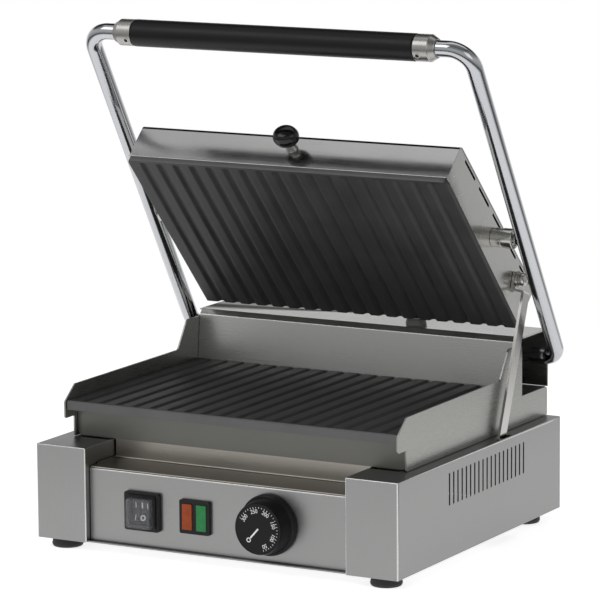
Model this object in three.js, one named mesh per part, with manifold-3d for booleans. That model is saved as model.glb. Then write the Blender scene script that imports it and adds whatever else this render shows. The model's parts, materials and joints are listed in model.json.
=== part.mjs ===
// Panini press: a counter-top contact grill with a ribbed lower plate, a self-levelling ribbed
// upper plate hung in a tubular lifting frame, and a recessed control panel.
// Millimetres, +Z up. Inside the press group, y is measured back from the front of the base.
import * as THREE from "three";
import { mergeVertices } from "three/addons/utils/BufferGeometryUtils.js";
import Module from "manifold-3d";

const wasm = await Module();
wasm.setup();

// ---------------------------------------------------------------- driving dimensions
const SHEET = 1.5;            // stainless sheet of the casing
const GAP = 0.4;              // clearance between neighbouring pieces

const BASE = { halfWidth: 205, depth: 361, bottom: 10, top: 106.5, postWidth: 57.5, returnDepth: 60 };
const PANEL = { y: 8, top: 85.6, halfWidth: 146.7 };
const FOOT = { x: 182, frontY: 20, rearY: 325, radius: 16, height: 9.8 };
const VENTS = { count: 19, firstY: 109.5, pitch: 9.19, width: 3, bottom: 63, top: 95 };

const BODY = { halfWidth: 190, sheet: 1.6, bottom: 107, frontY: 47, skirtY: 52, shelfTop: 136.7 };
const GUARD = { frontY: 29.5, lipZ: 128, tipZ: 145, chamferY: 49, edgeZ: 160.5, stepY: 251,
  stepTopY: 268, topZ: 190.5, rearY: 301.8 };
const COVER = { footY: 291.8, foldY: 296.9, foldZ: 192.6, topY: 302.2, top: 197.7, rearY: 361,
  halfWidth: 191 };

const LOWER = { halfWidth: 187.8, frontY: 31.5, rearY: 291.4, face: 146.2, rim: 9.5, pitch: 20 };
const GROOVES = { count: 18, depth: 2.6, halfTop: 4.2, halfBottom: 1.6 };

const AXLE = { y: 331.7, z: 174.1 };                     // rear shaft of the lifting frame
const FRAME = { lean: 31, halfWidth: 216.5, reach: 391.4, tube: 8.3, topBend: 23, lowBend: 15,
  stubEnd: 187 };
const GRIP = { radius: 13.8, halfLength: 160, bore: 8.8, capLength: 22 };

const HEAD = { frontY: 147.5, frontZ: 374, tilt: 47.1, halfWidth: 182.4, sheet: 1.3, rearE: 232,
  frontE: -4, foldN: 5, frontTop: 47, rearTop: 55, corner: 5, knobN: 28.5 };
const UPPER = { halfWidth: 180.4, rimHalfWidth: 183.2, rimFrontE: -4.6, frontE: -2.2, rearE: 230,
  thickness: 11, bevel: 3, pitch: 19.4 };
const PIVOT = { e: 119.8, n: 30.9, arm: 155.4, radius: 10.4, outer: 206, pinRadius: 4 };
const LINK = { e: 188.5, n: 32.3, lean: 21.2, length: 170.3, width: 14, eyeRadius: 8, thickness: 2.8,
  eyeX: 185.8, lowX: 198.5, joggleStart: 7.8, joggleEnd: 10, stopAt: 167, slotY: [222, 252.5] };
const SIDE_SLOTS = { count: 5, firstE: 14, pitch: 43.3, length: 31, width: 2.8, below: 5.2 };

const KNOB = { x: 59.8, z: 49.2, skirt: 30.6, face: 25.5, length: 24 };
const SWITCH = { x: -84.5, z: 47.5, width: 40, height: 39, rocker: [20, 23], tilt: 8 };
const LAMPS = { x: -24, z: 47.8, size: 34, lens: [11, 26], spread: 8.1 };
const GLAND = { x: -140, z: 42, outer: 11, bore: 4.2, length: 15.5 };

// ---------------------------------------------------------------- materials
function metal(color, roughness) {
  return new THREE.MeshStandardMaterial({ color, roughness, metalness: 1 });
}
function plain(color, roughness) {
  return new THREE.MeshStandardMaterial({ color, roughness, metalness: 0 });
}
const MATERIAL = {
  steel: () => metal(0xa9a9a4, 0.35),
  bodySteel: () => metal(0x77776f, 0.4),
  headSteel: () => metal(0x8f8f88, 0.35),
  iron: () => plain(0x343434, 0.75),
  chrome: () => metal(0xd0d2d6, 0.08),
  nickel: () => metal(0xa8a8a0, 0.3),
  bronze: () => metal(0x8a6a3c, 0.45),
  black: () => plain(0x17181a, 0.45),
  rubber: () => plain(0x1b1b1b, 0.8),
  orange: () => plain(0x9c4a22, 0.35),
  green: () => plain(0x3a8a50, 0.35),
  boot: () => plain(0x6a6c70, 0.3),
  insulation: () => plain(0xb9b3a2, 0.95),
  ceramic: () => plain(0xd8d4c8, 0.5),
};

// ---------------------------------------------------------------- solids
function bare(geometry) {
  geometry.deleteAttribute("normal");
  geometry.deleteAttribute("uv");
  return mergeVertices(geometry, 1e-4);
}

function manifoldOf(geometry) {
  const merged = bare(geometry);
  return new wasm.Manifold(new wasm.Mesh({
    numProp: 3,
    vertProperties: new Float32Array(merged.attributes.position.array),
    triVerts: new Uint32Array(merged.index.array),
  }));
}

function geometryOf(manifold) {
  const mesh = manifold.getMesh();
  const geometry = new THREE.BufferGeometry();
  geometry.setAttribute("position", new THREE.BufferAttribute(mesh.vertProperties, 3));
  geometry.setIndex(new THREE.BufferAttribute(mesh.triVerts, 1));
  geometry.computeVertexNormals();
  return geometry;
}

function join(...pieces) {
  return geometryOf(pieces.map(manifoldOf).reduce((sum, piece) => sum.add(piece)));
}

function cut(base, ...tools) {
  const removed = tools.map(manifoldOf).reduce((sum, piece) => sum.add(piece));
  return geometryOf(manifoldOf(base).subtract(removed));
}

function box(x0, x1, y0, y1, z0, z1) {
  const geometry = new THREE.BoxGeometry(x1 - x0, y1 - y0, z1 - z0);
  return geometry.translate((x0 + x1) / 2, (y0 + y1) / 2, (z0 + z1) / 2);
}

// A rod along X, Y or Z, from low to high, centred on the other two coordinates.
function rod(axis, radius, low, high, a, b, segments = 20) {
  const geometry = new THREE.CylinderGeometry(radius, radius, high - low, segments);
  const middle = (low + high) / 2;
  if (axis === "x") return geometry.rotateZ(-Math.PI / 2).translate(middle, a, b);
  if (axis === "y") return geometry.translate(a, middle, b);
  return geometry.rotateX(Math.PI / 2).translate(a, b, middle);
}

// A turned piece: profile points are [radius, height along the axis], closed on the axis or
// on themselves, with the height along X, -Y or Z.
function turned(axis, profile, segments = 28) {
  const points = profile.map(([r, h]) => new THREE.Vector2(r, h));
  const geometry = new THREE.LatheGeometry(points, segments);
  if (axis === "x") return geometry.rotateZ(-Math.PI / 2);
  if (axis === "-y") return geometry.rotateX(Math.PI);
  return geometry.rotateX(Math.PI / 2);
}

function outline(points) {
  return new THREE.Shape(points.map(([u, v]) => new THREE.Vector2(u, v)));
}

// A flat plate with a [y, z] outline, filling x0 to x1.
function plateX(points, x0, x1) {
  const geometry = new THREE.ExtrudeGeometry(outline(points), { depth: x1 - x0, bevelEnabled: false });
  const axes = new THREE.Matrix4().makeBasis(
    new THREE.Vector3(0, 1, 0), new THREE.Vector3(0, 0, 1), new THREE.Vector3(1, 0, 0));
  return geometry.applyMatrix4(axes).translate(x0, 0, 0);
}

// A bar with an [x, z] outline, filling y0 to y1.
function plateY(points, y0, y1) {
  const geometry = new THREE.ExtrudeGeometry(outline(points), { depth: y1 - y0, bevelEnabled: false });
  return geometry.rotateX(Math.PI / 2).translate(0, y1, 0);
}

function mirrored(geometry) {
  const twin = bare(geometry.clone()).scale(-1, 1, 1);
  const index = twin.index.array;
  for (let i = 0; i < index.length; i += 3) [index[i + 1], index[i + 2]] = [index[i + 2], index[i + 1]];
  twin.computeVertexNormals();
  return twin;
}

// A round tube swept along a three.js curve.
function tube(curve, radius, steps, sides = 12) {
  const section = new THREE.Shape();
  section.absarc(0, 0, radius, 0, 2 * Math.PI, false);
  const options = { steps, extrudePath: curve, curveSegments: sides / 2, bevelEnabled: false };
  return new THREE.ExtrudeGeometry(section, options);
}

// Straight runs joined by round bends: corners are [point, bend radius].
function bentPath(corners) {
  const path = new THREE.CurvePath();
  const points = corners.map(([p]) => new THREE.Vector3(...p));
  let from = points[0];
  for (let i = 1; i < corners.length - 1; i += 1) {
    const back = points[i - 1].clone().sub(points[i]).normalize();
    const ahead = points[i + 1].clone().sub(points[i]).normalize();
    const setback = corners[i][1] / Math.tan(back.angleTo(ahead) / 2);
    const enter = points[i].clone().addScaledVector(back, setback);
    const leave = points[i].clone().addScaledVector(ahead, setback);
    path.add(new THREE.LineCurve3(from, enter));
    path.add(new THREE.QuadraticBezierCurve3(enter, points[i], leave));
    from = leave;
  }
  path.add(new THREE.LineCurve3(from, points.at(-1)));
  return path;
}

function place(group, name, geometry, material) {
  const mesh = new THREE.Mesh(geometry, MATERIAL[material]());
  mesh.name = name;
  group.add(mesh);
  return mesh;
}

function placePair(group, name, geometry, material) {
  place(group, name + "_right", geometry, material);
  place(group, name + "_left", mirrored(geometry), material);
}

const SIDES = [["right", 1], ["left", -1]];

// ---------------------------------------------------------------- base
function sideCheek(withLinkSlot) {
  const { halfWidth: w, depth, bottom, top, postWidth, returnDepth } = BASE;
  const inner = w - postWidth;
  const aboveFloor = bottom + 2.2;
  const sheet = join(
    box(w - SHEET, w, 0, depth, bottom, top),
    box(inner, w, 0, SHEET, bottom, top),
    box(inner, inner + SHEET, 0, returnDepth, aboveFloor, top),
    box(inner, w, 0, BODY.frontY, top - SHEET, top),
    box(BODY.halfWidth - 8, w, 0, depth, top - SHEET, top));
  const cuts = [];
  for (let i = 0; i < VENTS.count; i += 1) {
    const y = VENTS.firstY + i * VENTS.pitch;
    cuts.push(box(w - 3, w + 1, y - VENTS.width / 2, y + VENTS.width / 2, VENTS.bottom, VENTS.top));
  }
  if (withLinkSlot) cuts.push(box(197, 202.8, ...LINK.slotY, top - 4, top + 1));
  return cut(sheet, ...cuts);
}

function addBase(press) {
  place(press, "base_cheek_right", sideCheek(true), "steel");
  place(press, "base_cheek_left", mirrored(sideCheek(false)), "steel");

  const { halfWidth: w, depth, bottom, top } = BASE;
  const p = PANEL;
  place(press, "control_panel", cut(
    join(
      box(-p.halfWidth, p.halfWidth, p.y, p.y + SHEET, bottom + 2.2, p.top),
      box(-p.halfWidth, p.halfWidth, p.y, p.y + 26, p.top - SHEET, p.top)),
    box(SWITCH.x - 15, SWITCH.x + 15, p.y - 1, p.y + 3, SWITCH.z - 15, SWITCH.z + 15),
    box(LAMPS.x - 14, LAMPS.x + 14, p.y - 1, p.y + 3, LAMPS.z - 14, LAMPS.z + 14),
    rod("y", 5, p.y - 1, p.y + 3, KNOB.x, KNOB.z)), "steel");

  // The floor has a notch that clears the lower end of the sliding link.
  place(press, "base_floor", cut(
    box(-w + 2, w - 2, SHEET + GAP, depth - 2, bottom + 0.3, bottom + 1.8),
    box(192.5, w, LINK.slotY[0] - 12, LINK.slotY[1] + 12, bottom - 1, bottom + 3)), "steel");

  const rearCuts = [rod("y", 7, depth - 3, depth + 1, GLAND.x, GLAND.z)];
  for (let i = 0; i < 14; i += 1) {
    const x = -39 + i * 6 * 1.5;
    rearCuts.push(box(x - 1.2, x + 1.2, depth - 3, depth + 1, 35, 75));
  }
  place(press, "base_rear_panel", cut(
    box(-w + 2, w - 2, depth - SHEET, depth, bottom + 2.2, top - 2), ...rearCuts), "steel");

  for (const [side, sign] of SIDES) {
    for (const [end, y] of [["front", FOOT.frontY], ["rear", FOOT.rearY]]) {
      const { radius: r, height: h } = FOOT;
      const foot = turned("z", [[0, 0], [r - 1.5, 0], [r, 1.5], [r - 1, h], [0, h]], 24);
      foot.translate(sign * FOOT.x, y, 0);
      place(press, "foot_" + end + "_" + side, foot, "rubber");
    }
  }

  // Removable grease tray that lies on the panel's top flange, below the lower plate's edge.
  const trayTop = BASE.top - 0.1;
  const trayWall = p.y + 50;
  place(press, "grease_tray", join(
    box(-146, 146, p.y + 0.5, trayWall, p.top + GAP, p.top + 1.6),
    box(-146, 146, trayWall - 1.2, trayWall, p.top + GAP, trayTop),
    box(-146, -144.8, p.y + 12, trayWall, p.top + GAP, p.top + 3),
    box(144.8, 146, p.y + 12, trayWall, p.top + GAP, p.top + 3)), "steel");
}

// ---------------------------------------------------------------- controls
function addControls(press) {
  const face = PANEL.y - 0.3;
  const s = SWITCH;
  const frameFront = face - 4;
  place(press, "switch_bezel", cut(
    join(
      box(s.x - s.width / 2, s.x + s.width / 2, frameFront, face, s.z - s.height / 2, s.z + s.height / 2),
      box(s.x - 14.5, s.x + 14.5, frameFront, face + 24, s.z - 14.5, s.z + 14.5)),
    box(s.x - 11.5, s.x + 11.5, frameFront - 1, face + 18, s.z - 13, s.z + 13)), "black");

  // Rocker lever with two faces that meet at a shallow angle, pressed in at the top when off.
  const [rockerWidth, rockerHeight] = s.rocker;
  const h = rockerHeight / 2;
  const rocker = plateX([[8, -h + 2], [8, h - 2], [-0.5, h], [1.2, 0], [-0.5, -h]],
    -rockerWidth / 2, rockerWidth / 2);
  const lever = place(press, "switch_rocker", rocker, "black");
  lever.position.set(s.x, face - 3.2, s.z);
  lever.rotation.x = THREE.MathUtils.degToRad(-s.tilt / 2);

  const bootFront = frameFront - 8;
  place(press, "switch_boot", cut(
    box(s.x - 14, s.x + 14, bootFront, frameFront - 0.3, s.z - 16, s.z + 14.5),
    box(s.x - 12.8, s.x + 12.8, bootFront + 1.2, frameFront, s.z - 14.8, s.z + 13.3)), "boot");

  const l = LAMPS;
  const half = l.size / 2;
  const [lensWidth, lensHeight] = l.lens;
  const windows = [-1, 1].map((sign) => box(
    l.x + sign * l.spread - lensWidth / 2 - 0.3, l.x + sign * l.spread + lensWidth / 2 + 0.3,
    face - 6, face + 8, l.z - lensHeight / 2 - 0.3, l.z + lensHeight / 2 + 0.3));
  place(press, "lamp_bezel", cut(
    join(
      box(l.x - half, l.x + half, face - 3.5, face, l.z - half, l.z + half),
      box(l.x - 13.7, l.x + 13.7, face - 3.5, face + 16, l.z - 13.7, l.z + 13.7)),
    ...windows), "black");
  for (const [color, sign] of [["orange", -1], ["green", 1]]) {
    const x = l.x + sign * l.spread;
    place(press, "lamp_lens_" + color, box(x - lensWidth / 2, x + lensWidth / 2, face - 4.3, face + 6,
      l.z - lensHeight / 2, l.z + lensHeight / 2), color);
  }

  const k = KNOB;
  const knob = turned("-y", [[0, 0], [3.4, 0], [k.skirt, 0], [k.skirt, 5], [k.skirt - 1.4, 7],
    [k.face + 0.5, k.length - 3], [k.face - 1, k.length], [0, k.length]], 40);
  const shaftHole = rod("y", 3.3, -14, 1, 0, 0, 16);
  const dial = place(press, "thermostat_knob", cut(knob, shaftHole), "black");
  dial.position.set(k.x, face - 0.4, k.z);

  const behind = PANEL.y + SHEET + 0.3;
  place(press, "thermostat", join(
    box(k.x - 22, k.x + 22, behind, behind + 30, k.z - 20, k.z + 20),
    rod("y", 4.2, face, behind + 2, k.x, k.z, 16),
    rod("y", 2.9, face - 12, face + 1, k.x, k.z, 16)), "ceramic");
  place(press, "terminal_block", box(GLAND.x - 22, GLAND.x + 22, 300, 318, 12.3, 34), "ceramic");

  const g = GLAND;
  const gland = turned("x", [[g.bore, -6], [6.6, -6], [6.6, 2], [g.outer, 2], [g.outer, 8],
    [7.5, g.length], [g.bore, g.length], [g.bore, -6]], 20);
  gland.rotateZ(Math.PI / 2).translate(g.x, BASE.depth + 0.3 - 1.5, g.z);
  place(press, "inlet_gland", gland, "rubber");
}

// ---------------------------------------------------------------- lower body
function addLowerBody(press) {
  const b = BODY;
  const g = GUARD;
  const inner = b.halfWidth - b.sheet;
  const depth = BASE.depth;

  // One sheet each side: box wall below, splash guard with a stepped top edge above.
  const sideOutline = [[b.frontY, b.bottom + 3], [b.frontY + 3, b.bottom], [depth, b.bottom],
    [depth, b.shelfTop - 4], [depth - 4, b.shelfTop], [g.rearY, b.shelfTop], [g.rearY, g.topZ],
    [g.stepTopY + 5, g.topZ], [g.stepTopY, g.topZ - 2.5], [g.stepY, g.edgeZ + 1.5], [g.chamferY, g.edgeZ],
    [g.frontY, g.tipZ], [g.frontY, g.lipZ], [b.frontY, g.lipZ]];
  placePair(press, "splash_guard", plateX(sideOutline, inner, b.halfWidth), "bodySteel");

  const span = inner - GAP;
  place(press, "body_skirt", join(
    box(-span, span, b.skirtY, b.skirtY + SHEET, b.bottom + 0.3, LOWER.face - LOWER.rim - 1),
    box(-span, span, b.skirtY, b.skirtY + 14, b.bottom + 0.3, b.bottom + 0.3 + SHEET)), "bodySteel");
  place(press, "body_floor", box(-span, span, b.skirtY + 15, depth - 2.4, b.bottom + 0.3,
    b.bottom + 0.3 + SHEET), "bodySteel");
  place(press, "body_rear_shelf", join(
    box(-span, span, 303, depth - 0.3, b.shelfTop - SHEET, b.shelfTop),
    box(-span, span, depth - 0.3 - SHEET, depth - 0.3, b.bottom + 0.3, b.shelfTop)), "bodySteel");

  // Rear cover: splash wall, 45 degree fold, flat top and back wall, open at both ends.
  const c = COVER;
  const low = b.shelfTop + GAP;
  const t = SHEET;
  const coverOutline = [[c.footY, low], [c.foldY, c.foldZ], [c.topY, c.top], [c.rearY, c.top],
    [c.rearY, low], [c.rearY - t, low], [c.rearY - t, c.top - t], [c.topY + 0.4 * t, c.top - t],
    [c.foldY + t, c.foldZ - 0.4 * t], [c.footY + t, low]];
  const wide = plateX([[g.rearY + GAP, c.top - t], [g.rearY + GAP, c.top], [c.rearY, c.top],
    [c.rearY, low], [c.rearY - t, low], [c.rearY - t, c.top - t]], -c.halfWidth, c.halfWidth);
  place(press, "rear_cover", join(plateX(coverOutline, -span, span), wide), "bodySteel");

  place(press, "lead_grommet", turned("z", [[0, 0], [11, 0], [11, 3], [8.5, 7], [0, 7]], 20)
    .translate(60, 318, c.top + 0.3), "rubber");

  placePlate(press, "lower_plate", LOWER.halfWidth, LOWER.pitch, (profile) => {
    const slab = plateY(profile.map(([x, d]) => [x, LOWER.face - d]), LOWER.frontY, LOWER.rearY);
    const relief = box(-LOWER.halfWidth - 1, LOWER.halfWidth + 1, LOWER.frontY + 14, LOWER.rearY + 1,
      LOWER.face - 20, LOWER.face - LOWER.rim + 0.5);
    return cut(slab, relief);
  }, LOWER.rim);

  const elementZ = LOWER.face - LOWER.rim - 5;
  place(press, "lower_heating_element", heater(elementZ, 75, 265, 150), "nickel");
  place(press, "lower_heat_shield", box(-span + 1, span - 1, 60, 288, b.bottom + 12, b.bottom + 13.2), "insulation");
}

// Cross-section of a ribbed plate: [x, depth below the ribs' crowns], flat on the far side.
function ribProfile(halfWidth, pitch, thickness) {
  const points = [[-halfWidth, thickness], [-halfWidth, 0.8], [-halfWidth + 0.8, 0]];
  const { count, depth, halfTop, halfBottom } = GROOVES;
  for (let i = 0; i < count; i += 1) {
    const x = (i - (count - 1) / 2) * pitch;
    points.push([x - halfTop, 0], [x - halfBottom, depth], [x + halfBottom, depth], [x + halfTop, 0]);
  }
  points.push([halfWidth - 0.8, 0], [halfWidth, 0.8], [halfWidth, thickness]);
  return points;
}

function placePlate(group, name, halfWidth, pitch, shape, thickness) {
  place(group, name, shape(ribProfile(halfWidth, pitch, thickness)), "iron");
}

// A sheathed heating element: one flat serpentine of four runs across the plate.
function heater(z, y0, y1, reach) {
  const runs = 4;
  const step = (y1 - y0) / (runs - 1);
  const bend = 16;
  const corners = [];
  for (let i = 0; i < runs; i += 1) {
    const y = y0 + i * step;
    const sign = i % 2 ? -1 : 1;
    corners.push([[-sign * reach, y, z], bend], [[sign * reach, y, z], bend]);
  }
  return tube(bentPath(corners), 3.6, 56, 8);
}

// ---------------------------------------------------------------- hinge and lifting frame
function spring(x0, x1, turns) {
  class Coil extends THREE.Curve {
    getPoint(t, target = new THREE.Vector3()) {
      const angle = 2 * Math.PI * turns * t;
      return target.set(x0 + (x1 - x0) * t, 10.5 * Math.cos(angle), 10.5 * Math.sin(angle));
    }
  }
  return tube(new Coil(), 1.5, turns * 10, 6);
}

function addHinge(press) {
  const { y, z } = AXLE;
  for (const [side, sign] of SIDES) {
    const x = sign * 160;
    const low = BODY.shelfTop + GAP;
    const ear = [[y - 18, low], [y + 22, low], [y + 22, z - 4], [y + 12, z + 14], [y - 12, z + 14], [y - 18, z - 4]];
    const bracket = join(plateX(ear, x - 2, x + 2), box(Math.min(x, x - sign * 16), Math.max(x, x - sign * 16),
      y - 18, y + 22, low, low + 2.5));
    place(press, "hinge_bracket_" + side, cut(bracket, rod("x", 9.3, x - 4, x + 4, y, z)), "steel");
    const bush = turned("x", [[6.3, -4], [9, -4], [9, 4], [6.3, 4], [6.3, -4]], 24);
    place(press, "hinge_bush_" + side, bush.translate(x, y, z), "bronze");
    const coil = spring(sign * 100, sign * 146, 7);
    place(press, "torsion_spring_" + side, coil.translate(0, y, z), "nickel");
  }
}

function addFrame(press) {
  const frame = new THREE.Group();
  frame.position.set(0, AXLE.y, AXLE.z);
  frame.rotation.x = THREE.MathUtils.degToRad(FRAME.lean);
  press.add(frame);

  const { halfWidth: w, reach, topBend, lowBend, stubEnd } = FRAME;
  const loop = bentPath([
    [[-stubEnd, 0, 0], 0], [[-w, 0, 0], lowBend], [[-w, 0, reach], topBend],
    [[w, 0, reach], topBend], [[w, 0, 0], lowBend], [[stubEnd, 0, 0], 0]]);
  place(frame, "handle_frame", tube(loop, FRAME.tube, 70, 12), "chrome");
  place(frame, "hinge_shaft", rod("x", 6, -stubEnd + GAP, stubEnd - GAP, 0, 0), "nickel");

  const g = GRIP;
  const sleeve = turned("x", [[g.bore, -g.halfLength], [g.radius - 0.8, -g.halfLength],
    [g.radius, -g.halfLength + 1], [g.radius, g.halfLength - 1], [g.radius - 0.8, g.halfLength],
    [g.bore, g.halfLength], [g.bore, -g.halfLength]], 28);
  place(frame, "handle_grip", sleeve.translate(0, 0, reach), "black");

  const start = g.halfLength + GAP;
  const cap = turned("x", [[g.bore, 0], [g.radius - 0.4, 0], [g.radius - 0.2, 0.6], [g.radius - 0.2, 15.4],
    [g.radius - 0.9, 16.4], [g.bore + 1.7, g.capLength - 0.9], [g.bore + 0.9, g.capLength], [g.bore, g.capLength],
    [g.bore, 0]], 28);
  const drilled = cut(cap, rod("y", 2.3, -16, 0, 5, 0, 12));
  placePair(frame, "grip_cap", drilled.translate(start, 0, reach), "nickel");
  const screw = cut(rod("y", 2, -12.8, -g.bore - 0.4, start + 5, reach, 12),
    box(start + 3, start + 7, -14, -12, reach - 0.4, reach + 0.4));
  placePair(frame, "grip_set_screw", screw, "nickel");

  const pin = turned("x", [[0, 0], [PIVOT.pinRadius, 0], [PIVOT.pinRadius, 10.6], [5.6, 10.6],
    [5.6, 11.8], [0, 11.8]], 16);
  placePair(frame, "pivot_pin", bare(pin.translate(195.8, 0, PIVOT.arm)), "nickel");
}

// ---------------------------------------------------------------- upper head
// In the head's frame y runs along the cooking face from its front edge and z away from it.
function addHead(press) {
  const head = new THREE.Group();
  head.position.set(0, HEAD.frontY, HEAD.frontZ);
  head.rotation.x = THREE.MathUtils.degToRad(-HEAD.tilt);
  press.add(head);

  placePlate(head, "upper_plate", UPPER.halfWidth, UPPER.pitch, (profile) => {
    const slab = plateY(profile, UPPER.frontE, UPPER.rearE);
    const wide = UPPER.halfWidth + 1;
    const bevel = plateX([[UPPER.frontE - 1, -1], [UPPER.frontE + UPPER.bevel - 1, -1],
      [UPPER.frontE - 1, UPPER.bevel - 1 + 2]], -wide, wide);
    const rim = (x0, x1, e0, e1) => box(x0, x1, e0, e1, 0.5, HEAD.foldN - GAP);
    const w = UPPER.rimHalfWidth;
    return join(cut(slab, bevel), rim(-w, -w + 6, UPPER.rimFrontE, UPPER.rearE),
      rim(w - 6, w, UPPER.rimFrontE, UPPER.rearE), rim(-w, w, UPPER.rimFrontE, UPPER.frontE + 3));
  }, UPPER.thickness);

  const h = HEAD;
  const shell = (inset, bottom) => [[h.frontE + inset, bottom], [h.rearE - inset, bottom],
    [h.rearE - inset, h.rearTop - inset], [h.frontE + h.corner + 1, h.frontTop + 0.4 - inset],
    [h.frontE + 2.5 + inset * 0.4, h.frontTop - 1.2 - inset], [h.frontE + 1 + inset, h.frontTop - h.corner]];
  const cuts = [plateX(shell(h.sheet, h.foldN - 1), -h.halfWidth + h.sheet, h.halfWidth - h.sheet)];
  const slope = Math.atan2(h.rearTop - h.frontTop, h.rearE - h.frontE);
  for (let i = 0; i < SIDE_SLOTS.count; i += 1) {
    const e = SIDE_SLOTS.firstE + i * SIDE_SLOTS.pitch + SIDE_SLOTS.length / 2;
    const n = h.frontTop + (e - h.frontE) * Math.tan(slope) - SIDE_SLOTS.below;
    const slot = box(-h.halfWidth - 1, h.halfWidth + 1, -SIDE_SLOTS.length / 2, SIDE_SLOTS.length / 2,
      -SIDE_SLOTS.width / 2, SIDE_SLOTS.width / 2);
    cuts.push(slot.rotateX(slope).translate(0, e, n));
  }
  cuts.push(rod("y", 4, h.frontE - 2, h.frontE + 4, 0, h.knobN, 16));
  place(head, "upper_housing", cut(plateX(shell(0, h.foldN), -h.halfWidth, h.halfWidth), ...cuts), "headSteel");

  const plateTop = UPPER.thickness;
  place(head, "upper_heating_element", heater(plateTop + 4.4, 30, 200, 145), "nickel");
  place(head, "upper_heat_shield", box(-178, 178, 4, 228, plateTop + 12, plateTop + 13.2), "insulation");

  // Oval lifting knob on a turned stem, square to the front face.
  const stem = turned("-y", [[0, -2.6], [3.7, -2.6], [3.7, 0.3], [6.2, 0.3], [5.6, 2.5], [5.2, 6], [5.4, 11.2],
    [0, 11.2]], 20).translate(0, h.frontE, h.knobN);
  place(head, "knob_stem", stem, "nickel");
  const cap = turned("-y", [[0, 11.6], [5, 11.6], [8.8, 13.2], [11.2, 16.6], [11.8, 20], [10.9, 23.6],
    [8.4, 26.6], [4.6, 28.3], [0, 28.8]], 28).scale(1.16, 1, 1).translate(0, h.frontE, h.knobN);
  place(head, "lifting_knob", cap, "black");

  // Pivot bosses, bored for the pins of the lifting frame.
  const p = PIVOT;
  const wall = h.halfWidth + 0.3;
  const boss = turned("x", [[0, wall], [p.radius, wall], [p.radius, p.outer - 0.8], [p.radius - 0.8, p.outer],
    [p.pinRadius + 0.35, p.outer], [p.pinRadius + 0.35, 194.5], [0, 194.5]], 28);
  placePair(head, "pivot_boss", bare(boss.translate(0, p.e, p.n)), "nickel");

  const ring = (x0, x1, r) => turned("x", [[3.9, x0], [r, x0], [r, x1], [3.9, x1], [3.9, x0]], 20)
    .translate(0, LINK.e, LINK.n);
  place(head, "link_spacer", ring(wall, 185.4, 7.6), "nickel");
  place(head, "link_washer", ring(188.9, 190.3, 7.2), "nickel");
  place(head, "link_bolt", turned("x", [[0, wall], [3.5, wall], [3.5, 190.6], [6.8, 190.6], [6.7, 192.6],
    [5.4, 194.6], [3, 195.7], [0, 196]], 20).translate(0, LINK.e, LINK.n), "nickel");
  return head;
}

// ---------------------------------------------------------------- sliding link
function addLink(press) {
  const tilt = THREE.MathUtils.degToRad(HEAD.tilt);
  const link = new THREE.Group();
  link.position.set(0,
    HEAD.frontY + LINK.e * Math.cos(tilt) + LINK.n * Math.sin(tilt),
    HEAD.frontZ - LINK.e * Math.sin(tilt) + LINK.n * Math.cos(tilt));
  link.rotation.x = THREE.MathUtils.degToRad(-LINK.lean);
  press.add(link);

  const { eyeX, lowX, thickness: t, joggleStart, joggleEnd, length, width, eyeRadius } = LINK;
  const strip = plateY([[eyeX, 3], [eyeX, -joggleStart - t], [lowX, -joggleEnd - t], [lowX, -length],
    [lowX + t, -length], [lowX + t, -joggleEnd], [eyeX + t, -joggleStart], [eyeX + t, 3]],
  -width / 2, width / 2);
  const bar = cut(
    join(strip, rod("x", eyeRadius, eyeX, eyeX + t, 0, 0, 24)),
    rod("x", 4, eyeX - 1, eyeX + t + 1, 0, 0, 16),
    rod("x", 2.8, lowX - 1, lowX + t + 1, 0, -LINK.stopAt, 12));
  place(link, "link_bar", bar, "steel");
  place(link, "link_stop_pin", rod("x", 2.4, 193, 202.6, 0, -LINK.stopAt, 12), "nickel");
}

// ---------------------------------------------------------------- assembly
const press = new THREE.Group();
addBase(press);
addControls(press);
addLowerBody(press);
addHinge(press);
addFrame(press);
addHead(press);
addLink(press);

// The origin is on the supporting surface, midway between the front of the knob and the back
// of the inlet gland.
const knobFront = PANEL.y - 0.7 - KNOB.length;
const glandBack = BASE.depth - 1.2 + GLAND.length;
press.position.y = -(knobFront + glandBack) / 2;

const root = new THREE.Group();
root.add(press);

export default root;
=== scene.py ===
"""Panini press: the visible surfaces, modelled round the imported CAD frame.

Blender units are metres. Pieces are drawn in millimetres in the press's own axes, where y runs
back from the front of the base and z up from the table, and are then put on the frame.
"""
import json
import math

import bmesh
import bpy
from mathutils import Matrix, Vector
from mathutils.bvhtree import BVHTree

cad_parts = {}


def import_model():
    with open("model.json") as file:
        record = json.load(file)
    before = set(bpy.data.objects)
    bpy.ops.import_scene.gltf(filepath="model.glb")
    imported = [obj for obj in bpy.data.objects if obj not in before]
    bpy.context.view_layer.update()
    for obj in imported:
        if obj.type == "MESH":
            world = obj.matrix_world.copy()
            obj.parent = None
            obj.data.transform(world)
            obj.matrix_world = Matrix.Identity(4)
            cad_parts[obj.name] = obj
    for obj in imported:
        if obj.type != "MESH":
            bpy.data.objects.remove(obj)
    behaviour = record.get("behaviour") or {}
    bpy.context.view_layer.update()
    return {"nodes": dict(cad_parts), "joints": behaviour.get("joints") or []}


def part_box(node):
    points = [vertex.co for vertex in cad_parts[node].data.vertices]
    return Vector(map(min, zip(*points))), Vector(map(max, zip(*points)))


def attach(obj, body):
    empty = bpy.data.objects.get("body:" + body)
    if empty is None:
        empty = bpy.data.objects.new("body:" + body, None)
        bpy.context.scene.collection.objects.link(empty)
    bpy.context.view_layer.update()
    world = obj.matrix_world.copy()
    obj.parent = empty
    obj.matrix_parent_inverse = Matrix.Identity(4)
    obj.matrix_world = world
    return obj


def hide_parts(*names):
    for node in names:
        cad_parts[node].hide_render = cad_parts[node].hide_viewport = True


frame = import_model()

SCENE = bpy.context.scene
MM = 0.001
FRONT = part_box("base_cheek_right")[0].y
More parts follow.
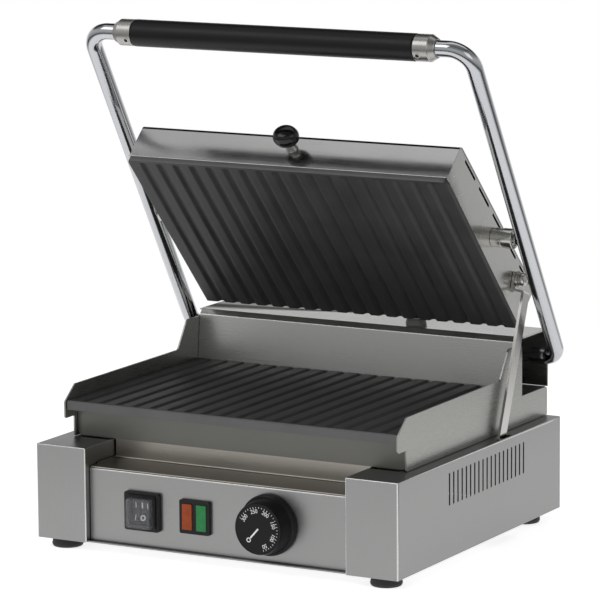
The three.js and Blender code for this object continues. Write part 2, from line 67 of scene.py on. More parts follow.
PRESS = Matrix.Translation((0, FRONT, 0)) @ Matrix.Scale(MM, 4)
JOINTS = {joint["name"]: joint for joint in frame["joints"]}
SIDES = (("right", 1), ("left", -1))

HEAD_TILT = math.radians(47.1)
FRAME_LEAN = math.radians(31)
LINK_LEAN = math.radians(21.2)
TUBE_RADIUS = 8.3
ARM = 155.4                 # from the lifting frame's axle to the head's pivot
HOUSING_HALF = 182.4        # half width of the upper housing
SIDE_FITTINGS = 182.7       # where the pieces that stand on the housing's sides start
EYE_BORE = 3.9              # radius of the hole for the link's bolt

FLOOR_RADIUS = 1.25         # metres
FLOOR_GLOW = 0.72
# The surround's light level by height, from straight down (-1) to straight up (1).
WORLD_LEVELS = (
    (-1, 0.30), (-0.5, 0.26), (-0.42, 0.10), (-0.26, 0.16), (-0.2, 0.44), (0.0, 0.5),
    (0.05, 0.6), (0.3, 0.6), (0.5, 0.34), (0.76, 0.26), (0.88, 1.0), (1.0, 1.0))
BACKDROP_DIRECTION = (-0.4875, 0.873, 0)
BACKDROP_DARKNESS = 0.9
CEILING_DARKNESS = 0.75
SCREEN_BRIGHTNESS = 0.9

VIEW_AZIMUTH, VIEW_ELEVATION, VIEW_ROLL = (math.radians(a) for a in (29.178, 9.861, -0.434))
VIEW_TARGET = (0, 150, 245)                     # in the press's axes
VIEW_DISTANCE, VIEW_OFFSET = 4007.4, 13.97      # back from the target, and to its right
SENSOR_WIDTH, FOCAL_LENGTH = 36, 238.94


# ---- places
def joint_point(name):
    """A joint's centre in the press's axes, in millimetres."""
    return PRESS.inverted() @ Vector(JOINTS[name]["pos_m"])


def tilted(origin, angle):
    """Axes of a group that is turned about X, as a matrix from its millimetres to metres."""
    return PRESS @ Matrix.Translation(origin) @ Matrix.Rotation(angle, 4, "X")


def node_box(node):
    """A node's lowest and highest corner in the press's axes, in millimetres."""
    low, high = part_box(node)
    inverse = PRESS.inverted()
    return inverse @ low, inverse @ high


AXLE = joint_point("handle_hinge")
HEAD_PIVOT = Vector((0, 119.8, 30.9))       # the head's pivot in the head's own axes
FRAME_AXES = tilted(AXLE, FRAME_LEAN)
HEAD_AXES = tilted(joint_point("head_pivot"), -HEAD_TILT) @ Matrix.Translation(-HEAD_PIVOT)
LINK_AXES = tilted(joint_point("link_pivot") * Vector((0, 1, 1)), -LINK_LEAN)


# ---- materials
def node_tree(name):
    made = bpy.data.materials.new(name)
    made.use_nodes = True
    tree = made.node_tree
    return made, tree, tree.nodes["Principled BSDF"]


def set_inputs(node, **values):
    """Sets constants on a node's sockets, with _ for each space in a socket's name."""
    for name, value in values.items():
        node.inputs[name.replace("_", " ")].default_value = value


def noise(tree, scale, detail=3.0, roughness=0.5, stretch=(1, 1, 1)):
    """Noise in the piece's own metres; stretch multiplies its frequency along each axis."""
    place = tree.nodes.new("ShaderNodeTexCoord")
    mapping = tree.nodes.new("ShaderNodeMapping")
    set_inputs(mapping, Scale=stretch)
    texture = tree.nodes.new("ShaderNodeTexNoise")
    set_inputs(texture, Scale=scale, Detail=detail, Roughness=roughness)
    tree.links.new(place.outputs["Object"], mapping.inputs["Vector"])
    tree.links.new(mapping.outputs["Vector"], texture.inputs["Vector"])
    return texture.outputs["Fac"]


def spread(tree, value, low=0, high=1, start=0.3, end=0.7):
    """Maps a noise value from start..end to low..high."""
    mapped = tree.nodes.new("ShaderNodeMapRange")
    set_inputs(mapped, From_Min=start, From_Max=end, To_Min=low, To_Max=high)
    tree.links.new(value, mapped.inputs["Value"])
    return mapped.outputs["Result"]


def mix_color(tree, factor, first, second):
    """Mixes two colours; each of the three arguments is a socket or a plain value."""
    mixed = tree.nodes.new("ShaderNodeMix")
    mixed.data_type = "RGBA"
    targets = [mixed.inputs["Factor"]] + [s for s in mixed.inputs if s.type == "RGBA"]
    for target, value in zip(targets, (factor, first, second)):
        if isinstance(value, bpy.types.NodeSocket):
            tree.links.new(value, target)
        else:
            target.default_value = (*value, 1) if isinstance(value, tuple) else value
    return [s for s in mixed.outputs if s.type == "RGBA"][0]


def paint(tree, shader, factor, first, second):
    tree.links.new(mix_color(tree, factor, first, second), shader.inputs["Base Color"])


def combined(tree, operation, first, second):
    """The sum or product of two sockets."""
    made = tree.nodes.new("ShaderNodeMath")
    made.operation = operation
    tree.links.new(first, made.inputs[0])
    tree.links.new(second, made.inputs[1])
    return made.outputs["Value"]


def bump(tree, shader, height, strength, distance):
    made = tree.nodes.new("ShaderNodeBump")
    set_inputs(made, Strength=strength, Distance=distance)
    tree.links.new(height, made.inputs["Height"])
    tree.links.new(made.outputs["Normal"], shader.inputs["Normal"])


def shade(color, factor):
    return tuple(min(1.0, channel * factor) for channel in color)


def steel(name, color, roughness=0.3, grain=(30, 2600, 2600), smudge=0.08, metallic=1.0):
    """Brushed sheet: fine grain stretched along one axis, with soft smudges left by handling."""
    made, tree, shader = node_tree(name)
    set_inputs(shader, Metallic=metallic)
    streaks = noise(tree, 1.0, 4.0, 0.65, grain)
    clouds = noise(tree, 11.0, 3.0, 0.55)
    brushed = mix_color(tree, spread(tree, streaks, 0, 1, 0.25, 0.75),
                        shade(color, 0.9), shade(color, 1.08))
    worn = mix_color(tree, spread(tree, clouds),
                     shade(color, 1 - smudge), shade(color, 1 + smudge))
    paint(tree, shader, 0.5, brushed, worn)
    rough = combined(tree, "ADD", spread(tree, streaks, roughness - 0.05, roughness + 0.07),
                     spread(tree, clouds, -0.03, 0.04))
    tree.links.new(rough, shader.inputs["Roughness"])
    bump(tree, shader, streaks, 0.12, 0.00012)
    return made


def moulded(name, color, roughness=0.45, grain=900.0, depth=0.00012, coat=0.0, metallic=0.0,
            variation=0.18, mottling=14.0, specular=0.5):
    """Moulded, cast or rubbed surface: an even fine texture with a little mottling."""
    made, tree, shader = node_tree(name)
    set_inputs(shader, Metallic=metallic, Coat_Weight=coat, Coat_Roughness=0.08,
               Specular_IOR_Level=specular)
    fine = noise(tree, grain, 4.0, 0.6)
    coarse = noise(tree, mottling, 4.0, 0.6)
    paint(tree, shader, spread(tree, coarse),
          shade(color, 1 - variation), shade(color, 1 + variation))
    rough = combined(tree, "ADD", spread(tree, fine, roughness - 0.06, roughness + 0.06),
                     spread(tree, coarse, -0.05, 0.05))
    tree.links.new(rough, shader.inputs["Roughness"])
    bump(tree, shader, fine, 0.35, depth)
    return made


def lens(name, color):
    """Translucent coloured plastic of an indicator lamp that is not lit."""
    made, tree, shader = node_tree(name)
    clouds = noise(tree, 160.0, 2.0)
    set_inputs(shader, Roughness=0.22, Subsurface_Weight=0.25, Coat_Weight=0.08,
               Subsurface_Radius=(0.004, 0.004, 0.004), Specular_IOR_Level=0.2)
    paint(tree, shader, spread(tree, clouds), shade(color, 0.86), shade(color, 1.1))
    bump(tree, shader, noise(tree, 900.0, 2.0), 0.15, 0.0001)
    return made


def clear_boot(name):
    """Clear, slightly uneven soft cover."""
    made, tree, shader = node_tree(name)
    clouds = noise(tree, 220.0, 3.0)
    paint(tree, shader, spread(tree, clouds), (0.80, 0.81, 0.83), (0.92, 0.93, 0.95))
    set_inputs(shader, Transmission_Weight=0.94, Roughness=0.09, IOR=1.2)
    bump(tree, shader, clouds, 0.06, 0.0001)
    return made


BASE_STEEL = steel("base_steel", (0.295, 0.295, 0.292), 0.34, (2600, 2600, 40))
PANEL_STEEL = steel("panel_steel", (0.285, 0.285, 0.282), 0.33)
BODY_STEEL = steel("body_steel", (0.17, 0.17, 0.155), 0.42, metallic=0.85)
GUARD_STEEL = steel("guard_steel", (0.31, 0.31, 0.295), 0.28, (2600, 30, 2600), metallic=0.85)
COVER_STEEL = steel("cover_steel", (0.50, 0.50, 0.485), 0.3, (25, 2600, 2600))
HEAD_STEEL = steel("head_steel", (0.44, 0.44, 0.437), 0.17, (25, 2600, 2600))
HEAD_SIDE_STEEL = steel("head_side_steel", (0.54, 0.54, 0.52), 0.22, (1800, 40, 40), 0.05)
TRAY_STEEL = steel("tray_steel", (0.33, 0.31, 0.28), 0.30, (18, 2200, 2200), 0.16)
LINK_STEEL = steel("link_steel", (0.47, 0.46, 0.44), 0.16, (2600, 2600, 60))
NICKEL = steel("nickel", (0.52, 0.515, 0.49), 0.22, (60, 2600, 2600), 0.05)
CHROME = steel("chrome", (0.50, 0.51, 0.53), 0.10, (400, 400, 400), 0.04)
# Near-black steel for the head's front-top bend: a painted dark reflection along the fold.
HEAD_FOLD_PAINTED_REFLECTION = steel("head_fold_painted_reflection", (0.04, 0.04, 0.039), 0.16, (25, 2600, 2600))
CAP_NICKEL = steel("cap_nickel", (0.40, 0.395, 0.38), 0.30, (60, 2600, 2600), 0.05)
# Lighter steel for the folds of the base cheeks and control panel: a painted highlight along the
# folds.
FOLD_PAINTED_HIGHLIGHT = steel("fold_painted_highlight", (0.60, 0.60, 0.59), 0.26, (60, 60, 2600), 0.04)
BRONZE = moulded("bronze", (0.40, 0.26, 0.12), 0.4, metallic=1.0)
IRON = moulded("cast_iron", (0.046, 0.046, 0.045), 0.56, 1500.0, 0.00030,
               variation=0.16, mottling=26.0, specular=0.34)
# Lighter iron for the plates' front rims: painted light on the rim.
IRON_RIM_PAINTED_LIGHT = moulded("cast_iron_rim_painted_light", (0.105, 0.106, 0.106), 0.5, 1500.0, 0.0002,
                    variation=0.12, mottling=18.0)
BLACK = moulded("black_plastic", (0.008, 0.008, 0.009), 0.38, 1800.0, 0.00005, specular=0.22)
DIAL_BLACK = moulded("dial_plastic", (0.007, 0.007, 0.008), 0.34, 1500.0, 0.00004, specular=0.16)
GLOSS = moulded("gloss_black", (0.004, 0.004, 0.004), 0.12, 500.0, 0.00002,
                coat=0.15, specular=0.3)
GRIP = moulded("grip_sleeve", (0.005, 0.005, 0.006), 0.42, 2600.0, 0.0001, specular=0.3)
RUBBER = moulded("rubber", (0.014, 0.014, 0.014), 0.62, 1400.0, 0.0001)
GREY_RUBBER = moulded("grey_rubber", (0.12, 0.12, 0.112), 0.5, 1400.0, 0.0001)
WHITE_INK = moulded("white_ink", (0.75, 0.75, 0.73), 0.5, 1200.0, 0.00002, variation=0.05)
ORANGE = lens("orange_lens", (0.30, 0.048, 0.006))
GREEN = lens("green_lens", (0.018, 0.20, 0.055))
BOOT = clear_boot("smoky_boot")
BOARD = moulded("insulation_board", (0.46, 0.43, 0.36), 0.9, 700.0, 0.0003)
CERAMIC = moulded("ceramic", (0.62, 0.59, 0.52), 0.5, 900.0, 0.0001)


# ---- outlines
def arc_corner(before, corner, after, radius, steps):
    """Points of a round corner of that radius, from the leg to before to the leg to after."""
    before, corner, after = Vector(before), Vector(corner), Vector(after)
    a, b = (before - corner), (after - corner)
    half = a.angle(b) / 2
    if radius <= 0 or abs(half - math.pi / 2) < 1e-3:
        return [tuple(corner)]
    setback = min(radius / math.tan(half), 0.49 * a.length, 0.49 * b.length)
    radius = setback * math.tan(half)
    a.normalize()
    b.normalize()
    centre = corner + (a + b).normalized() * (radius / math.sin(half))
    start, end = corner + a * setback - centre, corner + b * setback - centre
    turn = start.angle(end)
    points = []
    for i in range(steps + 1):
        t = i / steps
        mixed = start * math.sin((1 - t) * turn) + end * math.sin(t * turn)
        points.append(tuple(centre + mixed / math.sin(turn)))
    return points


def rectangle(u0, v0, u1, v1):
    return [(u0, v0), (u1, v0), (u1, v1), (u0, v1)]


def rounded(points, radii, steps=6, closed=True):
    """Rounds the corners of a flat outline; radii is one number or one for each corner."""
    count = len(points)
    radii = radii if isinstance(radii, list) else [radii] * count
    made = []
    for i, point in enumerate(points):
        if not closed and i in (0, count - 1):
            made.append(tuple(point))
            continue
        made += arc_corner(points[i - 1], point, points[(i + 1) % count], radii[i], steps)
    return made


def bent(line, radii, steps=6):
    """Rounds an open line: a bent sheet, a tube, or the profile of a turned solid."""
    return rounded(line, radii, steps, closed=False)


def strip(line, thickness):
    """Closed outline of a bent sheet: an open line and the same line moved left by thickness."""
    flat = [Vector(p) for p in line]
    legs = [after - before for before, after in zip(flat, flat[1:])]
    moved = []
    for i, point in enumerate(flat):
        ahead = legs[min(i, len(legs) - 1)]
        behind = legs[i - 1] if i else ahead
        n1 = Vector((-ahead.y, ahead.x)).normalized()
        n2 = Vector((-behind.y, behind.x)).normalized()
        middle = (n1 + n2).normalized()
        moved.append(point + middle * (thickness / max(0.3, middle.dot(n1))))
    return [tuple(p) for p in flat] + [tuple(p) for p in reversed(moved)]


# ---- meshes
def put(axis, u, v, w):
    """A point from an outline's two coordinates and its distance along axis."""
    return {"x": (w, u, v), "y": (u, w, v), "z": (u, v, w)}[axis]


def prism(points, axis, low, high, mesh=None):
    """A prism with a flat outline, in a new bmesh or added to the given one."""
    mesh = mesh or bmesh.new()
    rings = [[mesh.verts.new(put(axis, u, v, w)) for u, v in points] for w in (low, high)]
    mesh.faces.new(rings[0])
    mesh.faces.new(reversed(rings[1]))
    for i in range(len(points)):
        j = (i + 1) % len(points)
        mesh.faces.new((rings[0][j], rings[0][i], rings[1][i], rings[1][j]))
    return mesh


def lathe(profile, axis, segments, centre=(0, 0, 0), start=0, direction=1):
    """A turned solid; profile points are (radius, distance along axis from start)."""
    mesh = bmesh.new()
    c = Vector(centre)
    rings = []
    for radius, distance in profile:
        along = start + direction * distance
        if radius < 1e-6:
            rings.append([mesh.verts.new(c + Vector(put(axis, 0, 0, along)))])
            continue
        ring = []
        for k in range(segments):
            angle = 2 * math.pi * k / segments
            spot = put(axis, radius * math.cos(angle), radius * math.sin(angle), along)
            ring.append(mesh.verts.new(c + Vector(spot)))
        rings.append(ring)
    on_axis = profile[0][0] < 1e-6
    for i in range(len(rings) - (1 if on_axis else 0)):
        lower, upper = rings[i], rings[(i + 1) % len(rings)]
        for k in range(segments):
            n = (k + 1) % segments
            if len(lower) == 1:
                mesh.faces.new((lower[0], upper[k], upper[n]))
            elif len(upper) == 1:
                mesh.faces.new((lower[k], upper[0], lower[n]))
            else:
                mesh.faces.new((lower[k], upper[k], upper[n], lower[n]))
    return mesh


def sweep(path, radius, sides=32):
    """A round bar along a list of points, closed at both ends."""
    mesh = bmesh.new()
    points = [Vector(p) for p in path]
    last = len(points) - 1
    tangent = [(points[min(i + 1, last)] - points[max(i - 1, 0)]).normalized()
               for i in range(last + 1)]
    normal = tangent[0].orthogonal().normalized()
    rings = []
    for i, point in enumerate(points):
        normal = (normal - tangent[i] * normal.dot(tangent[i])).normalized()
        side = tangent[i].cross(normal)
        ring = []
        for k in range(sides):
            angle = 2 * math.pi * k / sides
            outward = normal * math.cos(angle) + side * math.sin(angle)
            ring.append(mesh.verts.new(point + outward * radius))
        rings.append(ring)
    for first, second in zip(rings, rings[1:]):
        for k in range(sides):
            n = (k + 1) % sides
            mesh.faces.new((first[k], first[n], second[n], second[k]))
    mesh.faces.new(reversed(rings[0]))
    mesh.faces.new(rings[-1])
    return mesh


def bevel_edges(mesh, width, segments, angle=28, keep=None, material=-1):
    """Rounds the sharp edges of a bmesh, or those of them that keep() picks."""
    limit = math.radians(angle)
    edges = [e for e in mesh.edges if len(e.link_faces) == 2 and e.calc_face_angle(0) > limit]
    if keep:
        edges = [e for e in edges if keep(e)]
    if edges:
        bmesh.ops.bevel(mesh, geom=edges, offset=width, segments=segments, profile=0.5,
                        affect="EDGES", clamp_overlap=False, material=material)


def add_object(name, data):
    made = bpy.data.objects.new(name, data)
    SCENE.collection.objects.link(made)
    return made


def finish_piece(name, mesh, axes, material, body, nodes, smooth=35):
    """Turns a bmesh in millimetres into a piece that rides on a body and stands for CAD nodes."""
    bmesh.ops.remove_doubles(mesh, verts=mesh.verts, dist=1e-4)
    bmesh.ops.recalc_face_normals(mesh, faces=mesh.faces)
    bmesh.ops.triangulate(mesh, faces=[face for face in mesh.faces if len(face.verts) > 4])
    mesh.transform(axes)
    data = bpy.data.meshes.new(name)
    mesh.to_mesh(data)
    mesh.free()
    data.shade_smooth()
    data.set_sharp_from_angle(angle=math.radians(smooth))
    piece = add_object(name, data)
    for entry in material if isinstance(material, list) else [material]:
        data.materials.append(entry)
    weighted = piece.modifiers.new("even_normals", "WEIGHTED_NORMAL")
    weighted.keep_sharp = True
    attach(piece, body)
    if nodes:
        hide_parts(*nodes)


def placer(axes, body):
    """A finish_piece for the pieces of one body, drawn in the given axes."""
    def place(name, mesh, material, slot, *nodes, smooth=35):
        finish_piece(name, mesh, axes, material, body, nodes, smooth)

    return place


on_base, on_tray = placer(PRESS, "base"), placer(PRESS, "tray")
on_dial, on_rocker = placer(PRESS, "dial"), placer(PRESS, "rocker")
on_handle, on_head = placer(FRAME_AXES, "handle"), placer(HEAD_AXES, "head")
on_link = placer(LINK_AXES, "link")


def refined(node, material, edge, fold=0.0, body="base"):
    """A CAD node's own shape with its facets joined and its edges and folds rounded."""
    mesh = bmesh.new()
    mesh.from_mesh(frame["nodes"][node].data)
    mesh.transform(Matrix.Scale(1 / MM, 4))
    bmesh.ops.remove_doubles(mesh, verts=mesh.verts, dist=1e-3)
    bmesh.ops.dissolve_limit(mesh, angle_limit=math.radians(0.6), verts=mesh.verts,
                             edges=mesh.edges)

    def is_fold(e):
        widths = [f.calc_area() / max(x.calc_length() for x in f.edges) for f in e.link_faces]
        return e.is_convex and min(widths) > 3 and e.calc_length() > 8

    # The rounded folds take the piece's second material; on the base cheeks that is the lighter
    # steel, a painted highlight along the folds.
    if fold:
        bevel_edges(mesh, fold, 4, keep=is_fold, material=1)
    bevel_edges(mesh, edge, 2)
    finish_piece(node + "_finished", mesh, Matrix.Scale(MM, 4), material, body, [node])


# ---- base
def base():
    for side, _ in SIDES:
        refined("base_cheek_" + side, [BASE_STEEL, FOLD_PAINTED_HIGHLIGHT], 0.3, 1.1)
        for end in ("front", "rear"):
            foot("foot_" + end + "_" + side)
    refined("base_floor", BASE_STEEL, 0.3)
    refined("base_rear_panel", BASE_STEEL, 0.25)

    low, high = node_box("control_panel")
    line = bent([(low.y, low.z), (low.y, high.z), (high.y, high.z)], 1.3)
    panel = prism(strip(line[::-1], 1.4), "x", low.x, high.x)
    bevel_edges(panel, 0.25, 2)
    # Faces on the panel's top front fold take the lighter steel: a painted highlight along the
    # fold.
    bend = 1.7
    for face in panel.faces:
        centre = face.calc_center_median()
        if centre.z > high.z - bend and centre.y < low.y + bend:
            face.material_index = 1
    on_base("control_panel_sheet", panel, [PANEL_STEEL, FOLD_PAINTED_HIGHLIGHT], "base_steel", "control_panel")

    low, high = node_box("grease_tray")
    sheet = 1.1
    line = bent([(low.y + 0.5, low.z), (high.y, low.z), (high.y, high.z)], 3.0)
    tray = prism(strip(line, sheet), "x", low.x, high.x)
    rear, floor_z, lip_z = high.y - 0.6, low.z + 0.6, low.z + 3
    end_wall = [(low.y + 12, floor_z), (rear, floor_z), (rear, lip_z), (low.y + 14, lip_z)]
    for _, sign in SIDES:
        outer, inner = sign * high.x, sign * (high.x - sheet)
        prism(end_wall, "x", *sorted((outer, inner)), tray)
    bevel_edges(tray, 0.3, 2)
    on_tray("grease_tray_sheet", tray, TRAY_STEEL, "tray_steel", "grease_tray")


def foot(node):
    low, high = node_box(node)
    radius = (high.x - low.x) / 2
    top = high.z
    profile = bent([(0, 0), (radius - 1.2, 0), (radius, 2.5), (radius - 1.4, top), (0, top)],
                   [0, 1.2, 1.4, 1.5, 0])
    centre = ((low.x + high.x) / 2, (low.y + high.y) / 2, 0)
    rubber = lathe(profile, "z", 40, centre)
    on_base(node + "_rubber", rubber, RUBBER, "rubber", node)


# ---- controls
def block(low, high, corner=0.0, axis="y"):
    """A box whose outline across axis has round corners."""
    i, j = {"x": (1, 2), "y": (0, 2)}[axis]
    k = "xyz".index(axis)
    outline = rectangle(low[i], low[j], high[i], high[j])
    if corner:
        outline = rounded(outline, corner, 5)
    return prism(outline, axis, low[k], high[k])


def framed(outer, inner, corner, front, back):
    """A flat ring from y front to y back; outer and inner are (x, z, x, z) rectangles."""
    mesh = bmesh.new()
    loops = [rounded(rectangle(*sides), radius, 5)
             for sides, radius in ((outer, corner), (inner, corner * 0.5))]
    rings = [[mesh.verts.new((x, y, z)) for x, z in loop] for loop in loops for y in (front, back)]
    count = len(rings[0])
    for i in range(count):
        j = (i + 1) % count
        for a, b in ((0, 1), (1, 3), (3, 2), (2, 0)):
            mesh.faces.new((rings[a][i], rings[a][j], rings[b][j], rings[b][i]))
    return mesh


def centred(cx, cz, half_width, half_height):
    return cx - half_width, cz - half_height, cx + half_width, cz + half_height


def switch():
    low, high = node_box("switch_bezel")
    cx, cz = (low.x + high.x) / 2, (low.z + high.z) / 2
    bezel = framed((low.x, low.z, high.x, high.z), centred(cx, cz, 12.5, 13.5),
                   2.4, low.y, low.y + 4)
    bevel_edges(bezel, 0.8, 3)
    step = framed(centred(cx, cz, 16.5, 17), centred(cx, cz, 12.6, 13.6),
                  2.0, low.y - 1.6, low.y + 2)
    bevel_edges(step, 0.5, 2)
    add_mesh(bezel, step)
    body = block((cx - 14.5, low.y + 4, cz - 14.5), (cx + 14.5, high.y, cz + 14.5), 1.5)
    bevel_edges(body, 0.5, 2)
    add_mesh(bezel, body)
    on_base("switch_bezel_moulding", bezel, BLACK, "black_plastic", "switch_bezel")
    refined("switch_rocker", BLACK, 0.8, body="rocker")

    marks = bmesh.new()
    sunk, raised = -0.14, 0.1
    row = 6.2
    for x, z, half_width, half_height in ((-7.0, row, 0.4, 2.8), (0.4, row, 0.75, 2.9),
                                          (6.6, row, 0.4, 2.8), (-7.0, -row, 0.4, 2.8)):
        bar = block((-half_width, sunk, -half_height), (half_width, raised, half_height))
        bar.transform(on_front("switch_rocker", cx + x, cz + z))
        add_mesh(marks, bar)
    ring = lathe(rectangle(1.7, sunk, 3.0, raised), "y", 28)
    ring.transform(on_front("switch_rocker", cx + 1.5, cz - row))
    add_mesh(marks, ring)
    on_rocker("switch_rocker_marks", marks, WHITE_INK, "black_plastic")

    low, high = node_box("switch_boot")
    boot = block(low, high, 3.2)
    bevel_edges(boot, 1.6, 4, keep=lambda e: all(v.co.y < low.y + 1e-3 for v in e.verts))
    back = [f for f in boot.faces if f.calc_center_median().y > high.y - 1e-3]
    bmesh.ops.delete(boot, geom=back, context="FACES")
    bmesh.ops.recalc_face_normals(boot, faces=boot.faces)
    bmesh.ops.solidify(boot, geom=list(boot.faces), thickness=0.9)
    on_base("switch_boot_cover", boot, BOOT, "boot", "switch_boot")


def on_front(node, x, z):
    """Moves a mark to a node's front at x, z and turns it about X to lie on the surface."""
    data = frame["nodes"][node].data
    tree = BVHTree.FromPolygons([PRESS.inverted() @ v.co for v in data.vertices],
                                [tuple(p.vertices) for p in data.polygons])
    hit, normal, _, _ = tree.ray_cast(Vector((x, -200, z)), Vector((0, 1, 0)))
    return Matrix.Translation(hit) @ Matrix.Rotation(-math.atan2(normal.z, -normal.y), 4, "X")


def add_mesh(target, other):
    """Moves another bmesh's faces into target."""
    data = bpy.data.meshes.new("joined")
    other.to_mesh(data)
    other.free()
    target.from_mesh(data)
    bpy.data.meshes.remove(data)


def lamps():
    low, high = node_box("lamp_bezel")
    left, right = node_box("lamp_lens_orange"), node_box("lamp_lens_green")
    gap = 0.3
    front, face = low.y, node_box("control_panel")[0].y - gap
    bottom, top = left[0].z - gap, left[1].z + gap
    bezel = bmesh.new()
    outer = framed((low.x, low.z, high.x, high.z),
                   (left[0].x - gap, bottom, right[1].x + gap, top), 1.6, front, face)
    bevel_edges(outer, 0.7, 3)
    add_mesh(bezel, outer)
    divider = block((left[1].x + gap, front + gap, bottom - 1),
                    (right[0].x - gap, face + 8, top + 1))
    bevel_edges(divider, 0.4, 2)
    add_mesh(bezel, divider)
    x0, z0, x1, z1 = centred((low.x + high.x) / 2, (low.z + high.z) / 2, 13.7, 13.7)
    add_mesh(bezel, block((x0, face, z0), (x1, high.y, z1), 1.0))
    on_base("lamp_bezel_moulding", bezel, BLACK, "black_plastic", "lamp_bezel")
    for color, material, box in (("orange", ORANGE, left), ("green", GREEN, right)):
        pillow = block(box[0], (box[1].x, face - 0.2, box[1].z), 0.8)
        bevel_edges(pillow, 0.7, 3)
        on_base("lamp_lens_" + color + "_pillow", pillow, material, color + "_lens",
                "lamp_lens_" + color)


def curve_mesh(curve):
    """The mesh of a curve or text."""
    holder = add_object(curve.name, curve)
    bpy.context.view_layer.update()
    shaped = holder.evaluated_get(bpy.context.evaluated_depsgraph_get())
    data = bpy.data.meshes.new_from_object(shaped)
    bpy.data.objects.remove(holder)
    return data


def figures(text, size, spot, turn):
    """Flat figures on the dial's face, turned in its plane."""
    curve = bpy.data.curves.new("label", "FONT")
    curve.body = text
    curve.size = size
    curve.align_x = "CENTER"
    curve.align_y = "CENTER"
    curve.extrude = 0.06
    curve.space_character = 0.95
    data = curve_mesh(curve)
    upright = Matrix.Rotation(math.pi / 2, 4, "X")
    data.transform(Matrix.Translation(spot) @ Matrix.Rotation(turn, 4, "Y") @ upright)
    return data


def dial():
    low, high = node_box("thermostat_knob")
    cx, cz = (low.x + high.x) / 2, (low.z + high.z) / 2
    front, back = low.y, high.y
    skirt = (high.x - low.x) / 2
    length = back - front
    face = length - 0.7
    profile = [(0, 0), (skirt, 0), (skirt, 4.8), (28.0, 6.4), (25.9, length - 2), (25.2, length),
               (24.4, face), (0, face)]
    soft = bent(profile, [0, 0.8, 1.6, 2.5, 1.6, 0.4, 0.4, 0])
    knob = lathe(soft, "y", 96, (cx, 0, cz), back, -1)
    on_dial("thermostat_knob_moulding", knob, DIAL_BLACK, "dial_plastic", "thermostat_knob")

    plane = front + 0.64
    middle = Matrix.Translation((cx, plane, cz))
    marks = bmesh.new()
    first, step, minor_steps = 146, -42.2, 5        # degrees, from the highest figure down
    figure_radius, figure_size = 17.6, 5.6
    for i, label in enumerate(("300", "250", "200", "150", "100", "50")):
        angle = math.radians(first + i * step)
        spot = Vector((cx + figure_radius * math.cos(angle), plane,
                       cz + figure_radius * math.sin(angle)))
        data = figures(label, figure_size, spot, math.pi / 2 - angle)
        marks.from_mesh(data)
        bpy.data.meshes.remove(data)
    for i in range(28):
        angle = math.radians(first + (i - 1) * step / minor_steps)
        inner = 20.9 if (i - 1) % minor_steps else 20.4
        tick = block((inner, -0.06, -0.24), (22.2, 0.06, 0.24))
        tick.transform(middle @ Matrix.Rotation(-angle, 4, "Y"))
        add_mesh(marks, tick)
    pointer = middle @ Matrix.Rotation(-math.radians(228), 4, "Y")
    hand = block((-0.5, -0.08, -0.85), (12.6, 0.06, 0.8))
    hand.transform(pointer)
    add_mesh(marks, hand)
    ring = lathe(rectangle(1.5, -0.08, 2.4, 0.06), "y", 28)
    ring.transform(pointer @ Matrix.Translation((15.6, 0, 0)))
    add_mesh(marks, ring)
    on_dial("thermostat_dial_marks", marks, WHITE_INK, "dial_plastic")


def rear_fittings():
    refined("thermostat", CERAMIC, 0.4)
    refined("terminal_block", CERAMIC, 0.6)
    refined("inlet_gland", RUBBER, 0.5)


# ---- lower body
def splash_guards():
    rear, shelf = node_box("rear_cover")[0].y + 10, node_box("body_rear_shelf")[1].z
    front, skirt, lip, edge = 29.5, 47, 128, 160.5
    for side, _ in SIDES:
        low, high = node_box("splash_guard_" + side)
        outline = [(skirt, low.z), (high.y, low.z), (high.y, shelf), (rear, shelf), (rear, high.z),
                   (271, high.z), (251.5, edge + 0.7), (49, edge), (front, 145), (front, lip),
                   (skirt, lip)]
        radii = [2, 1, 4, 1.5, 6, 7, 3, 3, 2, 2, 1]
        guard = prism(rounded(outline, radii), "x", low.x, high.x)
        bevel_edges(guard, 0.4, 3, 60)
        on_base("splash_guard_" + side + "_sheet", guard, GUARD_STEEL, "body_steel",
                "splash_guard_" + side)


def skirt_and_floor():
    low, high = node_box("body_skirt")
    front = rounded(rectangle(low.x, low.z, high.x, high.z), [6, 6, 1, 1])
    skirt = prism(front, "y", low.y, low.y + 1.5)
    bevel_edges(skirt, 0.4, 3, 60)
    add_mesh(skirt, block((low.x + 6, low.y + 0.8, low.z), (high.x - 6, high.y, low.z + 1.5)))
    on_base("body_skirt_sheet", skirt, BODY_STEEL, "body_steel", "body_skirt")
    refined("body_floor", BODY_STEEL, 0.3)

    low, high = node_box("body_floor")
    flanges = bmesh.new()
    drop, reach, sheet, step = 20, 180.0, 1.2, 1.5
    front, rear = low.y + 1, high.y - 14
    for x0, x1, y0, y1 in ((-reach, reach, front, front + sheet),
                           (-reach, reach, rear - sheet, rear),
                           (-reach, sheet - reach, front + step, rear - step),
                           (reach - sheet, reach, front + step, rear - step)):
        add_mesh(flanges, block((x0, y0, low.z - drop), (x1, y1, low.z + 0.4)))
    bevel_edges(flanges, 0.3, 2)
    on_base("body_floor_flanges", flanges, BODY_STEEL, "body_steel")
    refined("body_rear_shelf", BODY_STEEL, 0.25)


